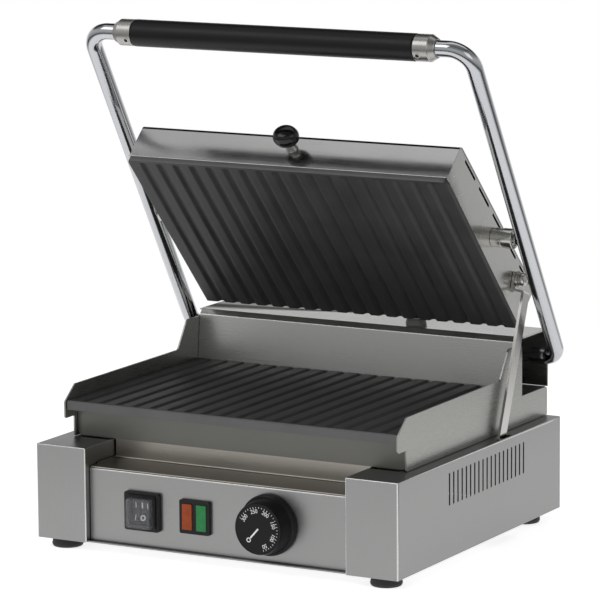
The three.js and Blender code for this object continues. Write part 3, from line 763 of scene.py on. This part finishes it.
def rear_cover():
    low, high = node_box("rear_cover")
    inner = node_box("splash_guard_right")[0].x - 0.4
    sheet, fold_y, fold_z, top_y = 1.5, 296.9, 192.6, 302.2
    line = [(low.y, low.z), (fold_y, fold_z), (top_y, high.z), (high.y, high.z), (high.y, low.z)]
    profile = bent(line[::-1], [0, 2.4, 2.2, 2.2, 0])
    cover = prism(strip(profile, sheet), "x", -inner, inner)
    bevel_edges(cover, 0.3, 2, 60)
    wing_line = bent([(top_y + 0.1, high.z), (high.y, high.z), (high.y, low.z)], 2.4)
    for _, sign in SIDES:
        ends = sorted((sign * inner, sign * high.x))
        add_mesh(cover, prism(strip(wing_line[::-1], sheet), "x", *ends))
    on_base("rear_cover_sheet", cover, COVER_STEEL, "body_steel", "rear_cover")

    low, high = node_box("lead_grommet")
    middle = ((low.x + high.x) / 2, (low.y + high.y) / 2, low.z)
    profile = bent([(0, 0), (11, 0), (10.6, 2.6), (10.0, 7), (3.4, 7), (3.2, 5.4), (0, 5.4)],
                   [0, 0.3, 1, 0.8, 0.5, 0.3, 0])
    on_base("lead_grommet_moulding", lathe(profile, "z", 40, middle), GREY_RUBBER, "rubber",
            "lead_grommet")


# ---- ribbed plates
def rib_height(x, pitch, count, groove):
    """Depth of the nearest groove at x: flat ribs with sloping flanks and a narrow round floor."""
    depth, half_top, half_bottom = groove
    index = round(x / pitch + (count - 1) / 2)
    index = min(max(index, 0), count - 1)
    away = abs(x - (index - (count - 1) / 2) * pitch)
    if away >= half_top:
        return 0.0
    t = min(1.0, (half_top - away) / (half_top - half_bottom))
    return depth * (t * t * (3 - 2 * t))


def plate_mesh(half, front, rear, thickness, pitch, groove, run_out, nose, corner=0.0):
    """A ribbed plate; its crowns lie at height 0 and its back at the given thickness.

    groove is (depth, half width at the top, half width of the floor); run_out says over which
    distances behind the front edge the grooves reach full depth; nose is the radius of the
    front edge and corner that of the two front corners, seen from above."""
    count = 18
    half_top = groove[1]
    xs = [-half, -half + 0.25, -half + 0.8, -half + 1.6]
    shares = [-1.02, -0.85, -0.68, -0.5, -0.34, -0.2, 0, 0.2, 0.34, 0.5, 0.68, 0.85, 1.02]
    for i in range(count):
        centre = (i - (count - 1) / 2) * pitch
        xs += [centre + share * half_top for share in shares]
    xs += [half - 1.6, half - 0.8, half - 0.25, half]
    ys = [front + d for d in (0, 0.1, 0.35, 0.8, 1.4, 2.1, 3.0, 4.2, 5.6, 7.4, 9.6, 12)]
    ys += [front + 14 + (rear - front - 28) * i / 10 for i in range(11)]
    ys += [rear - 9, rear - 5, rear - 2, rear - 0.8, rear - 0.25, rear]
    mesh = bmesh.new()

    def edge_drop(distance, radius):
        if distance >= radius:
            return 0.0
        return radius - math.sqrt(max(0.0, radius ** 2 - (radius - distance) ** 2))

    grid = []
    for y in ys:
        row = []
        inset = half
        if y - front < corner:
            inset = half - corner + math.sqrt(corner ** 2 - (corner - (y - front)) ** 2)
        ramp = min(1.0, max(0.0, (y - front - run_out[0]) / (run_out[1] - run_out[0])))
        tail = min(1.0, max(0.0, (rear - y + 4) / 6))
        ramp = math.sqrt(max(0.0, ramp * (2 - ramp))) * tail
        for x in xs:
            px = x * inset / half if abs(x) > half - 3 else x
            px = max(-inset, min(inset, px))
            drop = max(edge_drop(min(inset - abs(px), rear - y), 1.4), edge_drop(y - front, nose))
            height = drop + ramp * rib_height(x, pitch, count, groove)
            row.append(mesh.verts.new((px, y, height)))
        grid.append(row)
    last_x, last_y = len(xs) - 1, len(ys) - 1
    border = [(i, 0) for i in range(last_x + 1)] + [(last_x, j) for j in range(1, last_y + 1)]
    border += [(i, last_y) for i in range(last_x - 1, -1, -1)]
    border += [(0, j) for j in range(last_y - 1, 0, -1)]
    under = [mesh.verts.new((grid[j][i].co.x, grid[j][i].co.y, thickness)) for i, j in border]
    for j in range(last_y):
        for i in range(last_x):
            mesh.faces.new((grid[j][i], grid[j][i + 1], grid[j + 1][i + 1], grid[j + 1][i]))
    for k, (i, j) in enumerate(border):
        n = (k + 1) % len(border)
        mesh.faces.new((grid[j][i], grid[border[n][1]][border[n][0]], under[n], under[k]))
    mesh.faces.new(under)
    return mesh


def plates():
    low, high = node_box("lower_plate")
    lower = plate_mesh(half=high.x, front=low.y, rear=high.y, thickness=high.z - low.z, pitch=20,
                       groove=(3.0, 4.2, 1.0), run_out=(3.0, 9.5), nose=2.4)
    lower.transform(Matrix.Translation((0, 0, high.z)) @ Matrix.Diagonal((1, 1, -1, 1)))
    paint_front_rim_light(lower, low.y + 1.6)
    on_base("lower_plate_casting", lower, [IRON, IRON_RIM_PAINTED_LIGHT], "cast_iron", "lower_plate", smooth=50)

    front = -4.6
    upper = plate_mesh(half=183.2, front=front, rear=230, thickness=4.6, pitch=19.4,
                       groove=(2.9, 5.4, 0.8), run_out=(4.6, 9), nose=1.8, corner=7.0)
    paint_front_rim_light(upper, front + 1.2)
    add_mesh(upper, block((-180.4, -2.2, 4.5), (180.4, 229.8, 11)))
    on_head("upper_plate_casting", upper, [IRON, IRON_RIM_PAINTED_LIGHT], "cast_iron", "upper_plate", smooth=50)


def paint_front_rim_light(mesh, limit):
    """Gives the plate's front rim a lighter iron: painted light on the rim's face."""
    for face in mesh.faces:
        if face.calc_center_median().y < limit:
            face.material_index = 1


# ---- heaters, springs, brackets
def serpentine(height, y0, y1, reach, bend=16, runs=4):
    step = (y1 - y0) / (runs - 1)
    corners = []
    for i in range(runs):
        sign = -1 if i % 2 else 1
        corners += [(-sign * reach, y0 + i * step), (sign * reach, y0 + i * step)]
    return [(x, y, height) for x, y in bent(corners, bend, 8)]


def inside():
    lower_z = node_box("lower_heating_element")[0].z + 3.6
    heater = sweep(serpentine(lower_z, 75, 265, 150), 3.5, 16)
    on_base("lower_heating_element_tube", heater, NICKEL, "nickel", "lower_heating_element")
    heater = sweep(serpentine(15.4, 30, 200, 145), 3.5, 16)
    on_head("upper_heating_element_tube", heater, NICKEL, "nickel", "upper_heating_element")
    refined("lower_heat_shield", BOARD, 0.3)
    refined("upper_heat_shield", BOARD, 0.3, body="head")
    for side, sign in SIDES:
        refined("hinge_bracket_" + side, BASE_STEEL, 0.3)
        refined("hinge_bush_" + side, BRONZE, 0.3)
        turns, steps, radius = 7, 22, 10.5
        path = []
        for i in range(turns * steps + 1):
            angle = 2 * math.pi * i / steps
            path.append((sign * (100 + 46 * i / (turns * steps)),
                         AXLE.y + radius * math.cos(angle), AXLE.z + radius * math.sin(angle)))
        on_base("torsion_spring_" + side + "_coil", sweep(path, 1.45, 10), NICKEL, "nickel",
                "torsion_spring_" + side)


# ---- lifting frame
def lifting_frame():
    half, reach, stub = 216.5, 391.4, 187
    flat = [(-stub, 0), (-half, 0), (-half, reach), (half, reach), (half, 0), (stub, 0)]
    loop = [(x, 0, z) for x, z in bent(flat, [0, 15, 23, 23, 15, 0], 14)]
    on_handle("handle_frame_tube", sweep(loop, TUBE_RADIUS, 40), CHROME, "chrome_tube",
              "handle_frame")
    end = stub - 0.4
    shaft = bent(rectangle(0, -end, 6, end), 0.6)
    on_handle("hinge_shaft_bar", lathe(shaft, "x", 40), NICKEL, "nickel", "hinge_shaft")

    outer, bore, length = 13.8, 8.8, 160
    profile = rounded(rectangle(bore, -length, outer, length), [0, 1.6, 1.6, 0], 6)
    grip = lathe(profile, "x", 64, (0, 0, reach))
    on_handle("handle_grip_sleeve", grip, GRIP, "grip_sleeve", "handle_grip")

    cap_start, cap_bore, cap_length = length + 0.4, bore - 0.4, 22
    profile = [(cap_bore, 0), (13.6, 0), (13.6, 15.8), (12.9, 16.4), (10.2, 21.4),
               (9.6, cap_length), (cap_bore, cap_length)]
    cap_profile = rounded(profile, [0, 0.6, 0.5, 0.5, 0.6, 0.4, 0], 5)
    rim_profile = rounded([(2.0, -13.2), (2.0, -13.9), (2.9, -13.9), (2.9, -13.2)], 0.25, 4)
    socket_profile = rectangle(0, -13.7, 2.05, -12.6)
    pin_profile = bent([(0, 195.8), (4, 195.8), (4, 206.4), (5.6, 206.4), (5.6, 208.4),
                        (0, 208.4)], [0, 0.5, 0.6, 0.6, 0, 0], 4)
    for side, sign in SIDES:
        cap = lathe(cap_profile, "x", 64, (0, 0, reach), sign * cap_start, sign)
        on_handle("grip_cap_" + side + "_turning", cap, CAP_NICKEL, "nickel", "grip_cap_" + side)
        screw_place = Matrix.Translation((sign * (cap_start + 5), 0, reach))
        screw = "grip_set_screw_" + side
        rim, socket = lathe(rim_profile, "y", 32), lathe(socket_profile, "y", 24)
        rim.transform(screw_place)
        on_handle(screw + "_rim", rim, NICKEL, "nickel", screw)
        socket.transform(screw_place)
        on_handle(screw + "_socket", socket, BLACK, "nickel")
        pin = lathe(pin_profile, "x", 32, (0, 0, ARM), 0, sign)
        on_handle("pivot_pin_" + side + "_turning", pin, NICKEL, "nickel", "pivot_pin_" + side)


# ---- upper head
def housing():
    half, sheet = HOUSING_HALF, 1.3
    front, rear, fold, front_top, rear_top = -4, 232, 5, 47, 55
    steps, bow, straight_share = 12, 1.4, 0.25
    face_top = front_top - 11
    face_line = []
    for i in range(steps + 1):
        bowed = max(0, (i / steps - straight_share) / (1 - straight_share))
        face_line.append((front + bow * bowed ** 2, face_top + (fold - face_top) * i / steps))
    corners = [(rear, fold), (rear, rear_top), (front, front_top + 0.4), *face_line[:2]]
    bend = bent(corners, [0, 3, 5.6, 0, 0], 12)
    shell = prism(strip(bend[:-1] + face_line[1:], sheet), "x", -half, half)
    bevel_edges(shell, 0.3, 2, 60)
    # The faces on the front-top bend take the near-black steel: a painted dark reflection along
    # the fold.
    for face in shell.faces:
        middle = face.calc_center_median()
        if middle.y < front + 5.4 and middle.z > front_top - 5.0:
            face.material_index = 1
    hem = block((-half + 0.3, front - 1.3, fold - 0.3), (half - 0.3, front + 2, fold + 0.9),
                0.55, "x")
    add_mesh(shell, hem)
    on_head("upper_housing_shell", shell, [HEAD_STEEL, HEAD_FOLD_PAINTED_REFLECTION], "head_steel", "upper_housing")

    slope = math.atan2(rear_top - front_top, rear - front)
    rise, run = math.sin(slope), math.cos(slope)
    bottom, nose, back = fold - 0.2, front + 0.9, rear - 0.8
    outline = rounded([(back, bottom), (back, rear_top - 1.6), (front + 3.4, front_top - 1.4),
                       (nose, front_top - 4.6), (nose, bottom)], [1, 2, 1.5, 2, 1])
    first, pitch, below = 29.5, 43.3, 5.2
    slot = rounded(rectangle(-15.5, -1.4, 15.5, 1.4), 1.2, 4)
    slots = []
    for i in range(5):
        y = first + pitch * i
        z = front_top + (y - front) * math.tan(slope) - below
        slots.append([(y + u * run - v * rise, z + u * rise + v * run) for u, v in slot])
    for side, sign in SIDES:
        panel = plate_with_holes(outline, slots, half - sheet - 0.1, half + 0.1, sign)
        on_head("upper_housing_side_" + side, panel, HEAD_SIDE_STEEL, "head_steel")
    lifting_knob(front, (0, 0, 28.5))


def lifting_knob(face, centre):
    stem = bent([(0, -2.4), (3.7, -2.4), (3.7, 0.3), (6.3, 0.3), (5.7, 2.5), (5.2, 6),
                 (5.5, 11.4), (0, 11.4)], [0, 0, 0, 0.6, 1.2, 3, 0.4, 0], 5)
    on_head("knob_stem_turning", lathe(stem, "y", 40, centre, face, -1), NICKEL,
            "nickel", "knob_stem")
    knob = bent([(0, 11.5), (6.4, 11.5), (11.0, 13.4), (12.3, 20.4), (9.6, 27.6), (0, 29.6)],
                [0, 0.8, 4.5, 9, 8, 0], 10)
    ball = lathe(knob, "y", 64, (0, 0, 0), face, -1)
    ball.transform(Matrix.Translation(centre) @ Matrix.Diagonal((1.16, 1, 1, 1)))
    on_head("lifting_knob_ball", ball, GLOSS, "black_gloss", "lifting_knob")


def head_pivots():
    start, step, end = SIDE_FITTINGS, 194.6, 206
    profile = [(0, start), (10.0, start), (10.0, 193.2), (9.5, 193.6), (9.5, 194.2), (10.4, step),
               (10.4, end), (7.4, end), (7.4, 204.6), (4.35, 204.6), (4.35, step), (0, step)]
    soft = bent(profile, [0, 0.3, 0.3, 0, 0, 0.4, 0.9, 0.5, 0.2, 0.2, 0, 0], 4)
    for side, sign in SIDES:
        boss = lathe(soft, "x", 56, (0, *HEAD_PIVOT.yz), 0, sign)
        on_head("pivot_boss_" + side + "_turning", boss, NICKEL, "nickel", "pivot_boss_" + side)
    eye = (0, 188.5, 32.3)
    for name, x0, x1, radius in (("link_spacer", start, 185.4, 7.6),
                                 ("link_washer", 188.9, 190.3, 7.2)):
        ring = lathe(rounded(rectangle(EYE_BORE, x0, radius, x1), 0.35, 3), "x", 40, eye)
        on_head(name + "_turning", ring, NICKEL, "nickel", name)
    profile = bent([(0, start), (3.5, start), (3.5, 190.6), (6.8, 190.6), (6.8, 192.8),
                    (5.2, 195.4), (0, 196.2)], [0, 0.2, 0, 0.5, 1.2, 2.5, 0], 5)
    on_head("link_bolt_turning", lathe(profile, "x", 40, eye), LINK_STEEL, "nickel", "link_bolt")


def plate_with_holes(outer, holes, low, high, sign):
    """A flat plate across X with openings, from a filled flat curve."""
    bevel = 0.22
    curve = bpy.data.curves.new("flat", "CURVE")
    curve.dimensions = "2D"
    curve.fill_mode = "BOTH"
    curve.extrude = (high - low) / 2 - bevel
    curve.bevel_depth = bevel
    curve.bevel_resolution = 1
    curve.offset = -bevel
    for loop in (outer, *holes):
        spline = curve.splines.new("POLY")
        spline.points.add(len(loop) - 1)
        spline.use_cyclic_u = True
        for point, (u, v) in zip(spline.points, loop):
            point.co = (u, v, 0, 1)
    data = curve_mesh(curve)
    mesh = bmesh.new()
    mesh.from_mesh(data)
    bpy.data.meshes.remove(data)
    middle = sign * (low + high) / 2
    mesh.transform(Matrix(((0, 0, 1, middle), (1, 0, 0, 0), (0, 1, 0, 0), (0, 0, 0, 1))))
    return mesh


# ---- sliding link
def link():
    eye_x, low_x, sheet, length, half_width = 185.8, 198.5, 2.8, 170.3, 7
    line = bent([(eye_x, 6), (eye_x, -10.6), (low_x, -12.8), (low_x, -length)],
                [0, 2.4, 2.4, 0], 7)
    bar = prism(strip(line[::-1], sheet), "y", -half_width, half_width)
    bevel_edges(bar, 0.5, 3, 60)
    eye = rounded(rectangle(EYE_BORE, eye_x, 8, eye_x + sheet), 0.5, 3)
    add_mesh(bar, lathe(eye, "x", 48))
    on_link("link_bar_strip", bar, LINK_STEEL, "base_steel", "link_bar")
    profile = bent(rectangle(0, 193, 2.4, 202.6), 0.5, 4)
    pin = lathe(profile, "x", 28, (0, 0, 3.3 - length))
    on_link("link_stop_pin_turning", pin, NICKEL, "nickel", "link_stop_pin")


# ---- studio
def level_ramp(tree, value, stops):
    """A grey ramp over a value in -1..1; stops are (value, level)."""
    ramp = tree.nodes.new("ShaderNodeValToRGB")
    elements = ramp.color_ramp.elements
    while len(elements) < len(stops):
        elements.new(0.5)
    for element, (spot, level) in zip(elements, stops):
        element.position = (spot + 1) / 2
        element.color = (level, level, level, 1)
    tree.links.new(spread(tree, value, 0, 1, -1, 1), ramp.inputs["Fac"])
    return ramp.outputs["Color"]


def world():
    """White for the camera; for light and reflections a softbox overhead and a dark backdrop."""
    made = bpy.data.worlds.new("studio")
    SCENE.world = made
    made.use_nodes = True
    tree = made.node_tree
    tree.nodes.clear()
    place = tree.nodes.new("ShaderNodeTexCoord")
    split = tree.nodes.new("ShaderNodeSeparateXYZ")
    tree.links.new(place.outputs["Generated"], split.inputs["Vector"])
    height = split.outputs["Z"]
    facing = tree.nodes.new("ShaderNodeVectorMath")
    facing.operation = "DOT_PRODUCT"
    facing.inputs[1].default_value = BACKDROP_DIRECTION
    tree.links.new(place.outputs["Generated"], facing.inputs[0])
    behind = facing.outputs["Value"]

    band = combined(tree, "MULTIPLY", spread(tree, height, 0, 1, 0.30, 0.44),
                    spread(tree, height, 1, 0, 0.86, 0.93))
    backdrop = combined(tree, "MULTIPLY",
                        spread(tree, behind, 0, BACKDROP_DARKNESS, 0.26, 0.42), band)
    ceiling = combined(tree, "MULTIPLY",
                       spread(tree, behind, CEILING_DARKNESS, 0, -0.10, 0.10),
                       spread(tree, height, 0, 1, 0.70, 0.78))
    screen = combined(tree, "MULTIPLY", spread(tree, behind, 0, SCREEN_BRIGHTNESS, 0.5, 0.75),
                      spread(tree, height, 1, 0, 0.24, 0.36))
    color = level_ramp(tree, height, WORLD_LEVELS)
    for factor, grey in ((screen, 1.0), (ceiling, 0.0), (backdrop, 0.0)):
        color = mix_color(tree, factor, color, (grey, grey, grey))

    white, surround = (tree.nodes.new("ShaderNodeBackground") for _ in range(2))
    set_inputs(white, Color=(1, 1, 1, 1))
    tree.links.new(color, surround.inputs["Color"])
    path = tree.nodes.new("ShaderNodeLightPath")
    choose = tree.nodes.new("ShaderNodeMixShader")
    tree.links.new(path.outputs["Is Camera Ray"], choose.inputs["Fac"])
    tree.links.new(surround.outputs["Background"], choose.inputs[1])
    tree.links.new(white.outputs["Background"], choose.inputs[2])
    output = tree.nodes.new("ShaderNodeOutputWorld")
    tree.links.new(choose.outputs["Shader"], output.inputs["Surface"])


def floor():
    """A round white table top that fades out into the white surround."""
    made, tree, shader = node_tree("pale_floor")
    grain = noise(tree, 90.0, 2.0)
    paint(tree, shader, grain, (0.94, 0.94, 0.94), (0.97, 0.97, 0.97))
    set_inputs(shader, Roughness=0.9, Specular_IOR_Level=0.1, Emission_Color=(1, 1, 1, 1),
               Emission_Strength=FLOOR_GLOW)
    place = tree.nodes.new("ShaderNodeTexCoord")
    reach = tree.nodes.new("ShaderNodeVectorMath")
    reach.operation = "LENGTH"
    tree.links.new(place.outputs["Object"], reach.inputs[0])
    tree.links.new(spread(tree, reach.outputs["Value"], 1, 0, 0.62 * FLOOR_RADIUS, FLOOR_RADIUS),
                   shader.inputs["Alpha"])
    data = bpy.data.meshes.new("floor")
    mesh = bmesh.new()
    bmesh.ops.create_circle(mesh, cap_ends=True, segments=96, radius=FLOOR_RADIUS)
    mesh.to_mesh(data)
    mesh.free()
    data.materials.append(made)
    ground = add_object("floor", data)
    ground.location = (0, 0, -0.0003)


def area_light(name, location, target, size, power):
    data = bpy.data.lights.new(name, "AREA")
    data.shape = "RECTANGLE"
    data.size, data.size_y = size
    data.energy = power
    lamp = add_object(name, data)
    lamp.location = location
    aim = Vector(target) - Vector(location)
    lamp.rotation_mode = "QUATERNION"
    lamp.rotation_quaternion = aim.to_track_quat("-Z", "Y")


def camera():
    back = Vector((math.sin(VIEW_AZIMUTH) * math.cos(VIEW_ELEVATION),
                   -math.cos(VIEW_AZIMUTH) * math.cos(VIEW_ELEVATION), math.sin(VIEW_ELEVATION)))
    level = (-back).cross(Vector((0, 0, 1))).normalized()
    upright = level.cross(-back)
    right = level * math.cos(VIEW_ROLL) + upright * math.sin(VIEW_ROLL)
    up = upright * math.cos(VIEW_ROLL) - level * math.sin(VIEW_ROLL)
    data = bpy.data.cameras.new("camera")
    data.sensor_width = SENSOR_WIDTH
    data.lens = FOCAL_LENGTH
    data.clip_start, data.clip_end = 0.1, 60
    holder = add_object("camera", data)
    place = PRESS @ Vector(VIEW_TARGET) + (right * VIEW_OFFSET + back * VIEW_DISTANCE) * MM
    turn = Matrix((right, up, back)).transposed().to_4x4()
    holder.matrix_world = Matrix.Translation(place) @ turn
    SCENE.camera = holder


camera()
world()
floor()
area_light("key", (-1.4, -1.9, 2.4), (0, 0, 0.2), (1.8, 1.4), 16)
area_light("fill", (2.4, -1.4, 1.4), (0, 0, 0.25), (1.4, 1.4), 5)
SCENE.view_settings.view_transform = "Standard"

base()
switch()
lamps()
dial()
rear_fittings()
splash_guards()
skirt_and_floor()
rear_cover()
plates()
inside()
lifting_frame()
housing()
head_pivots()
link()
